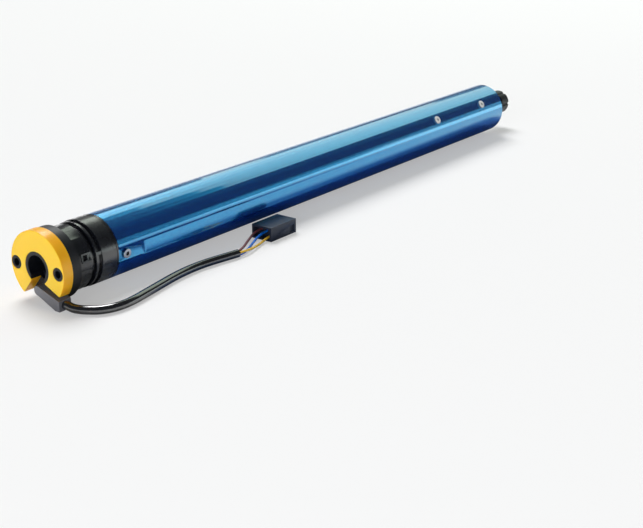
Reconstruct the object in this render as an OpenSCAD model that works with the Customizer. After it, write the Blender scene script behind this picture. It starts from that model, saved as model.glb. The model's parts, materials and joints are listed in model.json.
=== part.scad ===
// Tubular motor for a roller shutter or blind. The axis of the motor is X: the fixed head is at X = 0,
// the output hub at the far end. Z is up and the motor lies on the plane Z = -flange_r.

/* [Head] */
// Radius of the cap where it meets the head body
cap_r = 21.8; // [21.7:0.1:23]
// Radius of the cap's front face, measured to its rounded edge
cap_front_r = 21.7; // [21.7:0.1:21.8]
// Thickness of the cap along the axis
cap_len = 7; // [6:0.5:9]
// Rounding of the cap's front edge
cap_edge_r = 0.4; // [0.1:0.1:0.4]
// Half width of the cable slot where it leaves the bore ring
slot_half_w = 5.6; // [5:0.1:6]
// Lean of the slot's far wall from straight down
slot_far_deg = 40; // [30:1:50]
// Lean of the slot's near wall from straight down
slot_near_deg = 66; // [60:1:68]
// Inner radius of the bore that takes the bracket's stud
bore_r = 7.4; // [6.5:0.1:7.6]
// Depth of the bore from the face
bore_depth = 20; // [18:0.5:21]
// Wall of the ring that lines the bore
bore_ring_wall = 2.2; // [1.5:0.1:2.4]
// Distance between the two fixing holes
fix_pitch = 34.4; // [33.6:0.1:34.4]
// Radius of the two fixing holes
fix_hole_r = 2.2; // [1.6:0.1:2.4]
// Outer radius of the bushes round the fixing holes
bush_r = 4; // [3.4:0.1:4]
// Depth of the bushes and of the bore ring
bush_len = 9; // [8:0.5:10]
// Outer radius of the threaded inserts behind the bushes
insert_r = 3.2; // [3:0.1:3.5]

/* [Head body] */
// Radius of the flange behind the cap
flange_r = 21.4; // [21.2:0.1:21.6]
// Length of the flange
flange_len = 6.5; // [6:0.5:9]
// Radius of the smooth neck
neck_r = 19.4; // [18.6:0.1:19.8]
// Length of the neck
neck_len = 10; // [9:0.5:12]
// Radius of the journal that the crown turns on
journal_r = 17.3; // [17.2:0.1:17.4]
// Length of the head body's spigot past the tube's pressed pocket
spigot_past = 5; // [4.5:0.5:10]

/* [Crown] */
// Outer radius of the turning crown
crown_r = 20; // [19.8:0.1:20.4]
// Length of the crown
crown_len = 16.6; // [16.6:0.2:22]
// Gap in front of the crown, which holds the washer
washer_gap = 3.4; // [2.5:0.1:4]
// Width of the crown's slots
crown_slot_w = 2.6; // [1:0.1:2.6]
// Width of the bridges that cross the crown's slots
bridge_w = 2.2; // [1.5:0.1:3]

/* [Tube] */
// Outer radius of the tube
tube_r = 20; // [19.9:0.1:20.1]
// Wall of the tube
tube_wall = 1; // [0.8:0.1:1.2]
// Length of the tube
tube_len = 453; // [453:1:520]
// Length of the pressed pocket beside the crown
pocket_len = 23; // [20:1:24]
// Width of the pressed pocket
pocket_w = 8.6; // [8:0.1:10]
// Depth of the pocket's floor below the tube's surface
pocket_depth = 1.6; // [1.4:0.1:1.7]
// Direction of the pocket, from straight up towards the cable's side
pocket_deg = 95; // [90:1:100]
// Distance from the tube's start to the screw in the pocket
screw_in = 6.5; // [6:0.5:8]
// Distances of the two far screw rows from the tube's end
far_rows = [102, 32];
// Direction of the far screws that show
far_deg = 57; // [50:1:65]

/* [Output hub] */
// Radius of the hub's first lobed section
hub_r = 10; // [9.8:0.1:10.5]
// Length of the first lobed section
hub_len = 15; // [12:1:16]
// Radius of the hub's end section
hub_end_r = 10; // [9.8:0.1:10.5]
// Length of the end section
hub_end_len = 11; // [10:1:14]
// Radius and width of the clip groove between them
hub_groove = [8, 4];
// Number of lobes
lobes = 6; // [4:1:8]
// Radius of the notches between the lobes
lobe_cut_r = 1.3; // [1:0.1:1.4]
// Radius of the output shaft's journal
output_r = 8.9; // [8.5:0.1:9]

/* [Motor] */
// Outer radius of the motor can
can_r = 17.6; // [17:0.1:18]
// Wall of the motor can
can_wall = 1.4; // [1.2:0.1:1.6]
// Length of the motor can
can_len = 78; // [70:1:78]
// Radius of the rotor shaft
shaft_r = 2.5; // [2:0.1:2.6]
// Radius of the armature
armature_r = 12.4; // [12:0.1:12.8]
// Number of armature slots
armature_slots = 8; // [6:1:10]
// Thickness of the field magnets
magnet_t = 3; // [2.5:0.1:3.2]

/* [Gears] */
// Module of the planetary gears
gear_m = 0.6; // [0.59:0.01:0.6]
// Teeth of each sun gear
sun_n = 12; // [12:1:12]
// Teeth of each planet gear
planet_n = 18; // [18:1:18]
// Radius of the planet pins
pin_r = 1.5; // [1.3:0.1:1.6]
// Thickness of a planet carrier
plate_t = 4; // [3.5:0.5:4]
// Face widths of the three planet stages
stage_w = [11, 13, 17];
// Teeth inside the crown, for the turn counter
crown_n = 60; // [60:1:60]
// Teeth of the turn counter's pinion
count_n = 15; // [15:1:15]

/* [Electronics] */
// Length of the circuit board
board_len = 120; // [100:1:140]
// Width of the circuit board
board_w = 30; // [28:1:31]
// Thickness of the circuit board
board_t = 1.6; // [1:0.1:2]

/* [Cable] */
// Radius of the cable's jacket
cable_r = 2.6; // [2.4:0.1:2.6]
// Radius of the three wires
wire_r = 0.8; // [0.7:0.1:0.9]
// Length, width and height of the connector housing
connector = [26, 16, 9.4];
// Wall of the connector housing
connector_wall = 1.4; // [1.3:0.1:1.5]
// Height of the cable's exit above the resting plane
exit_h = 3.2; // [3.2:0.1:3.2]

/* [Hidden] */
$fn = 96;

// clearances: of a seat, of a running fit, between flat faces of moving pieces, and an overshoot for cuts
seat = 0.04;
run = 0.05;
face_gap = 0.3;
cut = 1;
// the thin air between a pressed-on piece and its shaft
press = 0.02;

// places along the axis, each from the one before; end faces stand inset from the tube's ends
inset = 0.5;
flange_x = cap_len;
neck_x = flange_x + flange_len;
journal_x = neck_x + neck_len;
crown_x = journal_x + washer_gap;
tube_x = crown_x + crown_len + inset;
tube_end = tube_x + tube_len;
spigot_end = tube_x + pocket_len + spigot_past;
tube_in_r = tube_r - tube_wall;
fit_r = tube_in_r - 2 * seat;
slot_top = bore_r + 1;
insert_len = neck_x - bush_len - inset;
plug_x = -2;
plug_back = cap_len - face_gap;

// turn counter
crown_m = 0.6;
count_c = crown_m * (crown_n - count_n) / 2;
count_x = crown_x + 8;
count_w = 6;
count_end = spigot_end + 5;
count_shaft_r = 1;
magnet_r = 3;
magnet_len = 3;

// electronics
counter_board_t = 1.2;
sensor_t = 0.8;
counter_board_x = count_end + inset + sensor_t + 0.2;
carrier_x = counter_board_x + counter_board_t;
carrier_wall = 1.5;
carrier_ring = 3;
board_x = carrier_x + carrier_ring - 1;
board_z = -3;
carrier_len = board_len + 2 * (carrier_ring - 1);

// motor
bell_len = 9.5;
bell_x = carrier_x + carrier_len + 3;
can_x = bell_x + bell_len;
can_end = can_x + can_len;
comm_r = 5.4;
comm_len = 12;
comm_x = can_x + 5;
wind_len = 4.5;
core_x = comm_x + comm_len + inset + wind_len;
core_end_gap = 16;
core_len = can_end - core_end_gap - core_x;
magnet_over = 6;
magnet_split = 10;
brake_x = can_end + bell_len + 1;
brake_len = 20;
brake_disc_t = 4;
brake_disc_r = 14;
coil_r = [13, 7];
coil_x = brake_x + 4;

// planetary gears
ring_n = sun_n + 2 * planet_n;
planet_c = gear_m * (sun_n + planet_n) / 2;
planet_deg = [0, 120, 240];
ring_pitch_r = gear_m * ring_n / 2;
gear_x = brake_x + brake_len + brake_disc_t + 6;
gear_wall = 3;
stage_x1 = gear_x + gear_wall + 2;
plate_x1 = stage_x1 + stage_w[0] + 2;
stage_x2 = plate_x1 + plate_t + 2;
plate_x2 = stage_x2 + stage_w[1] + 2;
stage_x3 = plate_x2 + plate_t + 2;
plate_x3 = stage_x3 + stage_w[2] + 2;
plate_r = ring_pitch_r - 1.1;
bearing_x = tube_end - far_rows[1] - 10;
seal_len = 5;
seal_wall = 3;
collar_screw_r = 1.6;
tube_screw_r = 1.7;
hub_x = tube_end - inset + face_gap;

// cable: the centre line of the jacket and of each wire, on the plane that the motor lies on
floor_z = -flange_r;
exit_z = floor_z + exit_h;
lie_z = floor_z + cable_r;
CABLE = [[2.3, -18.6, exit_z], [2.3, -21.4, exit_z], [2.4, -25, -18.6], [3.8, -29.6, lie_z],
    [6, -33.6, lie_z], [9, -37.4, lie_z], [13.2, -40.4, lie_z], [18, -42.2, lie_z], [23.5, -42.9, lie_z],
    [31, -42.6, lie_z], [40, -41.2, lie_z], [50, -39.4, lie_z], [60, -37.6, lie_z], [70, -35.9, lie_z],
    [80, -34.8, lie_z], [90, -34.5, lie_z], [100, -35.1, lie_z], [110, -36.6, lie_z], [118, -38, lie_z],
    [125, -39.2, lie_z]];
BROWN = [[125, -38.3, -18.2], [127, -38.1, -18.1], [130, -37.4, -18], [133, -36.4, -17.9],
    [136, -35.2, -17.7], [139, -33.8, -17.5], [142, -32.4, -17.3], [145, -31.1, -17.1],
    [148, -29.8, -16.9], [151, -28.5, -16.7], [154, -27.4, -16.5], [157, -26.6, -16.3],
    [160, -26, -16.2], [163, -25.8, -16.1], [165, -25.8, -16]];
BLUE = [[125, -39.4, -19.9], [127, -39.4, -19.9], [130, -39.2, -19.9], [133, -38.6, -19.8],
    [136, -37.8, -19.6], [139, -36.8, -19.3], [142, -35.6, -19], [145, -34.5, -18.6],
    [148, -33.4, -18.2], [151, -32.3, -17.8], [154, -31.4, -17.5], [157, -30.8, -17.2],
    [160, -30.4, -16.9], [163, -30.2, -16.8], [165, -30.2, -16.7]];
YELLOW = [[125, -40.2, -18.3], [127, -40.5, -18.3], [130, -40.7, -18.4], [133, -40.6, -18.6],
    [136, -40.2, -18.9], [139, -39.6, -19.2], [142, -38.8, -19.5], [145, -38, -19.7],
    [148, -37.2, -19.8], [151, -36.4, -19.8], [154, -35.6, -19.6], [157, -35, -19.3], [160, -34.6, -19],
    [163, -34.4, -18.9], [165, -34.4, -18.8]];
connector_at = [159, -22, floor_z];
recess_len = 5;
mouth_len = 14;
terminal_w = 1.9;
// the latch's hollow in the connector's side, its place from the mouth and above the plane
latch = [4.6, 1, 4.6];
latch_at = [2, 1.4];
// the plug's outline: its inner corner, its rounded top and its low outer end
plug_in = 1.2;
plug_top = 9.8;
plug_round_r = 2.8;
plug_end = 18.6;
plug_foot = 3.6;
plug_h = 6.2;

// a cylinder, a ring and a drilled hole along the axis
module rod(x, r, len) { translate([x, 0, 0]) rotate([0, 90, 0]) cylinder(r = r, h = len); }
module ring(x, r_out, r_in, len) {
    difference() {
        rod(x, r_out, len);
        rod(x - cut, r_in, len + 2 * cut);
    }
}
// what is drawn in the plane across the axis, as a prism from x
module prism_x(x, len) { translate([x, 0, 0]) rotate([90, 0, 90]) linear_extrude(height = len) children(); }
// turned about the axis: zero is straight up, and the cable's side is positive
module turned(deg) { rotate([deg, 0, 0]) children(); }
// a cylinder that points away from the axis, at x
module spoke(x, deg, r, r_from, r_to) {
    turned(deg) translate([x, 0, r_from]) cylinder(r = r, h = r_to - r_from);
}

// gear outlines: involute flanks through root, pitch and tip, thinned by the play between the teeth
function inv_deg(a) = tan(a) * 180 / PI - a;
function flank(n, m, r, play) = let (rp = m * n / 2, rb = rp * cos(20), a = acos(min(1, rb / max(r, rb))))
    90 / n - play * 90 / PI / rp + inv_deg(20) - inv_deg(a);
function gear_points(n, m, up, down, play) = [for (i = [0 : n - 1]) each
    let (rp = m * n / 2, at = i * 360 / n, rs = [rp - down, rp, rp + up])
    [for (side = [-1, 1], k = [0 : 2])
        let (r = rs[side < 0 ? k : 2 - k], a = at + side * flank(n, m, r, play)) [r * cos(a), r * sin(a)]]];
tooth_up = 0.85;
tooth_down = 1.15;
tooth_play = 0.09;
module gear(n, m, deg) {
    rotate(deg) polygon(gear_points(n, m, tooth_up * m, tooth_down * m, tooth_play));
}
module gear_hole(n, m) { polygon(gear_points(n, m, tooth_down * m, tooth_up * m, -tooth_play)); }

// tubes along a route: rings of points, square to the route, joined into one closed skin
function unit(v) = v / norm(v);
function heading(p, i) = unit(p[min(i + 1, len(p) - 1)] - p[max(i - 1, 0)]);
function tube_ring(p, i, r, n, square) = let (t = i == 0 || i == len(p) - 1 ? square : heading(p, i),
    s = unit(cross(t, [0, 0, 1])), u = cross(s, t), reach = r / cos(180 / n) ^ 0.5)
    [for (k = [0 : n - 1]) let (a = 360 * (k + 0.5) / n) p[i] + reach * (cos(a) * s + sin(a) * u)];
module tube_along(p, r, n, from_way, to_way) {
    m = len(p);
    points = [for (i = [0 : m - 1]) each tube_ring(p, i, r, n, i == 0 ? from_way : to_way)];
    sides = [for (i = [0 : m - 2], k = [0 : n - 1]) let (a = i * n + k, b = i * n + (k + 1) % n)
        each [[a, b, b + n], [a, b + n, a + n]]];
    caps = [[for (k = [n - 1 : -1 : 0]) k], [for (k = [0 : n - 1]) (m - 1) * n + k]];
    polyhedron(points = points, faces = concat(sides, caps), convexity = 8);
}

// head
module cap_shape() {
    steps = 8;
    rotate([0, 90, 0]) rotate_extrude() polygon(concat([[0, 0]],
        [for (i = [0 : steps]) let (a = 90 * i / steps)
            [cap_front_r - cap_edge_r + cap_edge_r * sin(a), cap_edge_r - cap_edge_r * cos(a)]],
        [[cap_r, cap_len], [0, cap_len]]));
}
module slot_outline() {
    reach = 2 * cap_r;
    polygon([[slot_half_w, -slot_top],
        [slot_half_w + reach * sin(slot_far_deg), -slot_top - reach * cos(slot_far_deg)],
        [-slot_half_w - reach * sin(slot_near_deg), -slot_top - reach * cos(slot_near_deg)],
        [-slot_half_w, -slot_top], [-slot_half_w, 0], [slot_half_w, 0]]);
}
module at_fixings() { for (side = [-1, 1]) translate([0, side * fix_pitch / 2, 0]) children(); }
module head_cap() {
    color("gold") difference() {
        cap_shape();
        rod(-cut, bore_r + bore_ring_wall + seat, cap_len + 2 * cut);
        at_fixings() rod(-cut, bush_r + seat, cap_len + 2 * cut);
        prism_x(-cut, cap_len + 2 * cut) slot_outline();
    }
}
module bore_ring() {
    color([0.12, 0.12, 0.13]) difference() {
        ring(0, bore_r + bore_ring_wall, bore_r, bush_len);
        prism_x(-cut, bush_len + 2 * cut) translate([-slot_half_w, -2 * bore_r])
            square([2 * slot_half_w, 2 * bore_r]);
    }
}
module fixing_bushes() {
    color([0.12, 0.12, 0.13]) intersection() {
        union() {
            cap_shape();
            rod(cap_len - seat, cap_r, bush_len - cap_len + seat);
        }
        at_fixings() ring(0, bush_r, fix_hole_r, bush_len);
    }
}
module threaded_inserts() {
    color("darkgoldenrod") at_fixings() ring(bush_len, insert_r, fix_hole_r, insert_len);
}

// the sprung catch on the neck: a low frame with a bar across it, and two windows sunk into the neck
catch_deg = 76;
catch_len = 7;
catch_w = 5;
catch_h = 0.6;
catch_bar = 1;
catch_sunk = 1.2;
catch_x = journal_x - catch_len - inset;
module catch_frame() {
    turned(catch_deg) translate([catch_x, -catch_w / 2, neck_r - catch_h])
        cube([catch_len, catch_w, 2 * catch_h]);
}
module catch_windows() {
    bar_end = catch_len / 2 + 1.5 * catch_bar;
    w = catch_w - 2 * catch_bar;
    h = 3 * catch_h + cut;
    turned(catch_deg) translate([catch_x, catch_bar - catch_w / 2, neck_r - catch_sunk]) {
        translate([catch_bar, 0, 0]) cube([(catch_len - catch_bar) / 2, w, h]);
        translate([bar_end, 0, 0]) cube([catch_len - bar_end + cut, w, h]);
    }
}
nose_y = [-8, -1];
nose_z = [-15, -12];
nose_len = 8.5;
pin_y = [-6.7, -4.5, -2.3];
pin_z = (nose_z[0] + nose_z[1]) / 2;
contact_r = 0.5;
contact_len = 13;
contact_in = 5;
contact_x = plug_back + nose_len - contact_in;
cavity_r = 11;
cavity_x = tube_x + 2;
count_bore_x = count_x - 4;
module nose_box(x, len, gap) {
    translate([x, nose_y[0] - gap, nose_z[0] - gap])
        cube([len, nose_y[1] - nose_y[0] + 2 * gap, nose_z[1] - nose_z[0] + 2 * gap]);
}
module head_body() {
    color([0.13, 0.13, 0.14]) difference() {
        union() {
            rod(flange_x, flange_r, flange_len);
            rod(flange_x, neck_r, flange_len + neck_len);
            rod(flange_x, journal_r, spigot_end - flange_x);
            catch_frame();
        }
        catch_windows();
        rod(-cut, bore_r, bore_depth + cut);
        rod(-cut, bore_r + bore_ring_wall + seat, bush_len + cut);
        at_fixings() rod(-cut, bush_r + seat, bush_len + cut);
        at_fixings() rod(-cut, insert_r + seat, bush_len + insert_len + cut);
        nose_box(plug_back, nose_len + 5 * face_gap, face_gap);
        for (y = pin_y) translate([0, y, pin_z]) rod(contact_x, contact_r + seat, contact_len + cut);
        translate([0, 0, count_c])
            rod(count_x - face_gap, crown_m * count_n / 2 + 1, count_w + 2 * face_gap);
        translate([0, 0, count_c]) rod(count_bore_x, count_shaft_r + run, spigot_end);
        rod(cavity_x, cavity_r, spigot_end);
        spoke(tube_x + screw_in, pocket_deg, collar_screw_r + seat, cavity_r - cut, flange_r);
    }
}

// the crown, which the roller tube drives, and the washer in front of it
crown_lip = 1.6;
washer_play = 0.4;
module crown_washer() {
    color([0.35, 0.36, 0.36])
        ring(journal_x + washer_play, journal_r + 0.6, journal_r + run, washer_gap - 2 * washer_play);
}
module crown() {
    slot_x = crown_x + crown_lip;
    slot_end = slot_x + crown_slot_w;
    color([0.16, 0.16, 0.16]) difference() {
        union() {
            rod(crown_x, crown_r - 0.4, crown_len);
            rod(slot_end, crown_r, crown_x + crown_len - slot_end);
        }
        rod(crown_x - cut, journal_r + run, crown_len + 2 * cut);
        difference() {
            ring(slot_x, crown_r + 1, journal_r + 1, crown_slot_w);
            for (i = [0 : 2]) turned(catch_deg + 120 * i)
                translate([slot_x - cut, -bridge_w / 2, 0])
                    cube([crown_slot_w + 2 * cut, bridge_w, 2 * crown_r]);
        }
        ring(crown_x + crown_len - 1.4, crown_r + 1, crown_r - 0.35, 0.5);
        prism_x(count_x - 0.5, count_w + 1) gear_hole(crown_n, crown_m);
    }
}
module counter_pinion() {
    color("ivory") translate([0, 0, count_c]) {
        prism_x(count_x, count_w) gear(count_n, crown_m, 90);
        rod(count_bore_x + inset, count_shaft_r, count_end - count_bore_x - inset);
    }
}
module counter_magnet() {
    color([0.3, 0.3, 0.32]) translate([0, 0, count_c]) difference() {
        rod(count_end - magnet_len, magnet_r, magnet_len + inset);
        rod(count_end - magnet_len - cut, count_shaft_r, magnet_len + cut);
    }
}

// tube
pocket_floor = tube_r - pocket_depth;
pocket_ramp = 4;
screw_head_h = 1.4;
module pocket_block(grow, low) {
    turned(pocket_deg) translate([tube_x - cut, -pocket_w / 2 - grow, low])
        cube([pocket_len + cut + grow, pocket_w + 2 * grow, tube_r]);
}
module motor_tube() {
    color("royalblue") difference() {
        union() {
            ring(tube_x, tube_r, tube_in_r, tube_len);
            intersection() {
                pocket_block(tube_wall, pocket_floor - tube_wall);
                rod(tube_x, tube_r, tube_len);
            }
        }
        turned(pocket_deg) rotate([90, 0, 0]) translate([0, 0, -pocket_w / 2])
            linear_extrude(height = pocket_w) polygon([[tube_x - cut, pocket_floor],
                [tube_x + pocket_len - pocket_ramp, pocket_floor],
                [tube_x + pocket_len, tube_r + cut / 2], [tube_x + pocket_len, tube_r + cut],
                [tube_x - cut, tube_r + cut]]);
        spoke(tube_x + screw_in, pocket_deg, collar_screw_r + seat, cavity_r, tube_r + cut);
        for (row = far_rows, side = [0, 180])
            spoke(tube_end - row, far_deg + side, tube_screw_r + seat, tube_in_r - cut, tube_r + cut);
    }
}
module tube_collar() {
    color([0.25, 0.25, 0.26]) difference() {
        ring(tube_x + inset, fit_r, journal_r + seat, spigot_end - tube_x - 3 * inset);
        pocket_block(tube_wall + face_gap, cavity_r);
    }
}
module collar_screw() {
    color("silver") difference() {
        union() {
            spoke(tube_x + screw_in, pocket_deg, 2.9, pocket_floor, pocket_floor + screw_head_h);
            spoke(tube_x + screw_in, pocket_deg, collar_screw_r, cavity_r + cut, pocket_floor + cut / 2);
        }
        turned(pocket_deg) translate([tube_x + screw_in, 0, pocket_floor + 0.4])
            cylinder(r = 1.3, h = screw_head_h, $fn = 6);
    }
}
module tube_screws() {
    color("gainsboro") for (row = far_rows, side = [0, 180]) difference() {
        union() {
            intersection() {
                spoke(tube_end - row, far_deg + side, 3.1, tube_r - face_gap, tube_r + 1);
                rod(tube_end - row - 5, tube_r + 0.9, 10);
            }
            spoke(tube_end - row, far_deg + side, tube_screw_r, tube_in_r - 2, tube_r);
        }
        difference() {
            rod(tube_end - row - 5, tube_r + seat, 10);
            rod(tube_end - row - 6, tube_in_r - 3, 12);
            spoke(tube_end - row, far_deg + side, tube_screw_r, tube_in_r - 3, tube_r + 1);
        }
        turned(far_deg + side) translate([tube_end - row, 0, tube_r + 0.2])
            cylinder(r = 1.1, h = 2, $fn = 6);
    }
}

// cable plug, cable and connector
module plug_outline() {
    polygon([[-plug_in, -plug_top], [-plug_in, -plug_top - 2 * plug_round_r],
        [plug_foot - plug_end, floor_z], [-plug_end, floor_z], [-plug_end, floor_z + plug_h]]);
    translate([-plug_in, -plug_top - plug_round_r]) circle(r = plug_round_r);
}
module cable_plug() {
    color([0.3, 0.31, 0.33]) difference() {
        union() {
            prism_x(plug_x, plug_back - plug_x) plug_outline();
            nose_box(plug_back - cut, nose_len + cut, 0);
        }
        for (y = pin_y) translate([0, y, pin_z]) rod(contact_x - inset, contact_r + 0.1, nose_len);
    }
}
module plug_contacts() {
    color("goldenrod") for (y = pin_y) translate([0, y, pin_z]) rod(contact_x, contact_r, contact_len);
}
module cable_jacket() { color([0.08, 0.08, 0.08]) tube_along(CABLE, cable_r, 12, [0, -1, 0], [1, 0, 0]); }
module wire(route, tone) {
    color(tone) tube_along(route, wire_r, 8, [1, 0, 0], [1, 0, 0]);
}
module wire_brown() { wire(BROWN, [0.42, 0.22, 0.2]); }
module wire_blue() { wire(BLUE, [0.1, 0.4, 0.85]); }
module wire_yellow() { wire(YELLOW, [0.93, 0.75, 0.2]); }
terminal_play = 0.15;
module connector_housing() {
    inner = [connector[1] - 2 * connector_wall, connector[2] - 2 * connector_wall];
    channel = terminal_w + 2 * terminal_play;
    color([0.13, 0.14, 0.17]) translate(connector_at) difference() {
        translate([0, -connector[1], 0]) cube(connector);
        translate([-cut, connector_wall - connector[1], connector_wall])
            cube([recess_len + cut, inner[0], inner[1]]);
        translate([connector[0] - mouth_len, connector_wall - connector[1], connector_wall])
            cube([mouth_len + cut, inner[0], inner[1]]);
        for (p = [BROWN, BLUE, YELLOW]) let (e = p[len(p) - 1] - connector_at)
            translate([0, e[1] - channel / 2, e[2] - channel / 2]) cube([connector[0], channel, channel]);
        translate([connector[0] - latch_at[0] - latch[0], -connector[1] - cut, latch_at[1]])
            cube([latch[0], latch[1] + cut, latch[2]]);
    }
}
module connector_terminals() {
    color("goldenrod") for (p = [BROWN, BLUE, YELLOW]) let (e = p[len(p) - 1])
        translate([e[0], e[1] - terminal_w / 2, e[2] - terminal_w / 2])
            cube([connector_at[0] + connector[0] - mouth_len + 6 - e[0], terminal_w, terminal_w]);
}

// electronics
module counter_board() {
    color("darkgreen") {
        difference() {
            rod(counter_board_x, fit_r - 2, counter_board_t);
            rod(counter_board_x - cut, 4, counter_board_t + 2 * cut);
        }
        translate([counter_board_x - sensor_t, -2, count_c - 2]) cube([sensor_t, 4, 4]);
    }
}
module board_carrier() {
    color([0.75, 0.75, 0.72]) difference() {
        union() {
            ring(carrier_x, fit_r, fit_r - 2 * carrier_wall, carrier_ring);
            ring(carrier_x + carrier_len - carrier_ring, fit_r, fit_r - 2 * carrier_wall, carrier_ring);
            intersection() {
                ring(carrier_x, fit_r, fit_r - carrier_wall, carrier_len);
                translate([carrier_x, -tube_r, -tube_r]) cube([carrier_len, 2 * tube_r, tube_r + board_z]);
            }
        }
        translate([board_x - seat, -board_w / 2 - seat, board_z])
            cube([board_len + 2 * seat, board_w + 2 * seat, board_t + seat]);
    }
}
module circuit_board() {
    color("seagreen") translate([board_x, -board_w / 2, board_z]) cube([board_len, board_w, board_t]);
}
top_z = board_z + board_t;
capacitor_r = 5;
transistor = [9, 10, 4.4];
radio = [24, 16, 0.8];
radio_shield = [16, 13, 2.4];
module capacitors() {
    color([0.2, 0.25, 0.5]) for (i = [0 : 1])
        translate([board_x + board_len - 2.6 * capacitor_r * (2 - i), 0, top_z]) {
            cylinder(r = capacitor_r, h = 11);
            cylinder(r = capacitor_r - 0.4, h = 12);
        }
}
module microcontroller() {
    color([0.1, 0.1, 0.1]) translate([board_x + 0.33 * board_len, -5, top_z]) cube([10, 10, 1.4]);
}
module radio_module() {
    color("silver") translate([board_x + 0.06 * board_len, -radio[1] / 2, top_z]) {
        cube(radio);
        translate([1.5, 1.5, radio[2]]) cube(radio_shield);
    }
}
module power_transistors() {
    color([0.12, 0.12, 0.12]) for (i = [0 : 1], side = [-1, 1])
        translate([board_x + 0.46 * board_len + 12 * i, side * 7 - transistor[1] / 2, top_z])
            cube(transistor);
}

// motor
rear_seat_r = 6;
front_seat_r = 8;
bell_wall = 1.5;
bearing_len = 7;
module rear_end_bell() {
    color([0.2, 0.2, 0.2]) difference() {
        rod(bell_x, can_r, bell_len);
        rod(bell_x + bell_wall, rear_seat_r + seat, bell_len);
        rod(bell_x - cut, shaft_r + 1, bell_len);
    }
}
module front_end_bell() {
    color("silver") difference() {
        rod(can_end, can_r, bell_len);
        rod(can_end - cut, front_seat_r + seat, bell_len - bell_wall + cut);
        rod(can_end - cut, shaft_r + 1, bell_len + 2 * cut);
    }
}
module rear_bearing() { color("peru") ring(bell_x + bell_wall, rear_seat_r, shaft_r + run, bearing_len); }
module front_bearing() { color("gray") ring(can_end + inset, front_seat_r, shaft_r + run, bearing_len); }
module motor_can() { color("lightgray") ring(can_x, can_r, can_r - can_wall, can_len); }
module field_magnets() {
    r = can_r - can_wall;
    color([0.25, 0.25, 0.27]) difference() {
        ring(core_x - magnet_over, r - seat, r - magnet_t, core_len + 2 * magnet_over);
        for (side = [-1, 1]) translate([can_x, -magnet_split / 2, side > 0 ? 0 : -can_r])
             cube([can_len, magnet_split, can_r]);
    }
}
module rotor_shaft() { color("silver") rod(bell_x + 2, shaft_r, stage_x1 + stage_w[0] - bell_x - 2); }
slot_c = armature_r - 3;
bar_r = 1.5;
module armature_core() {
    color([0.5, 0.5, 0.52]) difference() {
        ring(core_x, armature_r, shaft_r + press, core_len);
        for (i = [0 : armature_slots - 1]) turned(360 * i / armature_slots) {
            translate([0, 0, slot_c]) rod(core_x - cut, bar_r + 0.2, core_len + 2 * cut);
            translate([core_x - cut, -0.6, slot_c]) cube([core_len + 2 * cut, 1.2, 5]);
        }
    }
}
module armature_windings() {
    color([0.72, 0.4, 0.2]) {
        for (x = [core_x - wind_len, core_x + core_len]) ring(x, armature_r - 1, shaft_r + 2, wind_len);
        for (i = [0 : armature_slots - 1]) turned(360 * i / armature_slots)
            translate([0, 0, slot_c]) rod(core_x - cut, bar_r, core_len + 2 * cut);
    }
}
module commutator() {
    color([0.75, 0.45, 0.25]) difference() {
        ring(comm_x, comm_r, shaft_r + press, comm_len);
        for (i = [0 : armature_slots - 1]) turned(360 * i / armature_slots)
            translate([comm_x - cut, -0.25, comm_r - 0.8]) cube([comm_len + 2 * cut, 0.5, 2]);
    }
}
brush = [5, 4, 8];
brush_x = comm_x + (comm_len - brush[0]) / 2;
module brushes() {
    color([0.15, 0.15, 0.15]) for (side = [0, 180]) turned(side) translate([0, 0, comm_r + face_gap]) {
        translate([brush_x, -brush[1] / 2, 0]) cube(brush);
        translate([can_x, -brush[1] / 2 - 1, brush[2]])
            cube([brush_x + brush[0] - can_x, brush[1] + 2, 1.2]);
    }
}

// brake
module brake_body() {
    color([0.6, 0.6, 0.62]) difference() {
        rod(brake_x, can_r, brake_len);
        rod(brake_x - cut, shaft_r + 1, brake_len + 2 * cut);
        ring(coil_x, coil_r[0], coil_r[1], brake_len);
    }
}
module brake_coil() { color("chocolate") ring(coil_x, coil_r[0] - seat, coil_r[1] + seat, brake_len - 5); }
module brake_disc() {
    color([0.3, 0.28, 0.25])
        ring(brake_x + brake_len + face_gap, brake_disc_r, shaft_r + press, brake_disc_t);
}

// gearbox
module planet_pins(x, len) {
    for (deg = planet_deg) rotate([deg, 0, 0]) translate([0, planet_c, 0]) rod(x, pin_r, len);
}
module screw_holes(row) {
    for (side = [0, 180])
        spoke(tube_end - row, far_deg + side, tube_screw_r + seat, tube_in_r - 2.2, tube_r);
}
module gear_housing() {
    color([0.4, 0.4, 0.42]) difference() {
        rod(gear_x, fit_r, bearing_x - gear_x);
        rod(gear_x - cut, shaft_r + 1, gear_wall + 2 * cut);
        prism_x(gear_x + gear_wall, bearing_x - gear_x) gear_hole(ring_n, gear_m);
        screw_holes(far_rows[0]);
    }
}
module sun_gear() {
    color("silver") difference() {
        prism_x(stage_x1 - 1, stage_w[0] + 2) gear(sun_n, gear_m, 180 / sun_n);
        rod(stage_x1 - 2, shaft_r + press, stage_w[0] + 4);
    }
}
module carrier(pin_from, plate_from, sun_to) {
    rod(plate_from, plate_r, plate_t);
    planet_pins(pin_from, plate_from - pin_from + 1);
    if (sun_to > plate_from)
        prism_x(plate_from + 1, sun_to - plate_from - 1) gear(sun_n, gear_m, 180 / sun_n);
}
module carrier_1() { color("lightsteelblue") carrier(stage_x1 - 0.5, plate_x1, plate_x2 - 0.6); }
module carrier_2() { color("lightsteelblue") carrier(stage_x2 - 0.5, plate_x2, plate_x3 - 0.6); }
module output_carrier() {
    color("lightsteelblue") {
        carrier(stage_x3 - 0.5, plate_x3, 0);
        rod(plate_x3, output_r, hub_x - plate_x3);
    }
}
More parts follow.
